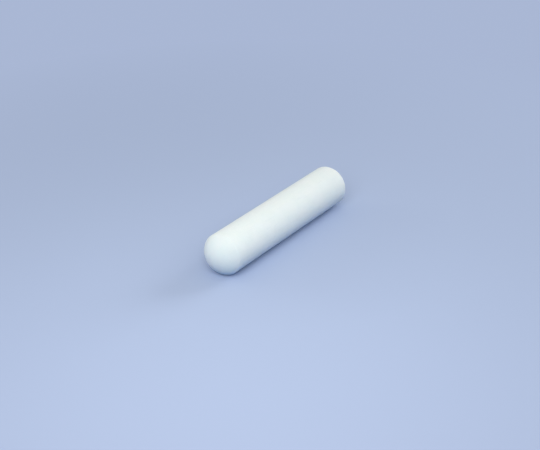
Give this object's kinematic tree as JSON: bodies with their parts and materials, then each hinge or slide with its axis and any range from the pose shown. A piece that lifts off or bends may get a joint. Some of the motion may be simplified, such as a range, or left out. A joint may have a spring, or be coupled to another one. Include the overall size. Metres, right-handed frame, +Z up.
{
  "type": "magnetic stir bar",
  "caption": "Smooth white rod with domed ends and a sealed rod magnet inside, spun in a vessel by a magnetic stirrer to mix a liquid.",
  "frame": {"origin": "on the surface that the bar lies on, straight below the middle of the bar", "axes": "+X along the bar, which is also its direction of magnetisation; +Z up, the axis that the bar spins about when it stirs; +Y across the bar"},
  "size_m": [0.041, 0.008, 0.008],
  "materials": {
    "ptfe": "white PTFE, smooth and waxy, satin sheen",
    "cast_magnet": "cast alnico, ground round, dull grey"
  },
  "bodies": {
    "root": {"jacket": "ptfe", "magnet_core": "cast_magnet"}
  },
  "joints": []
}
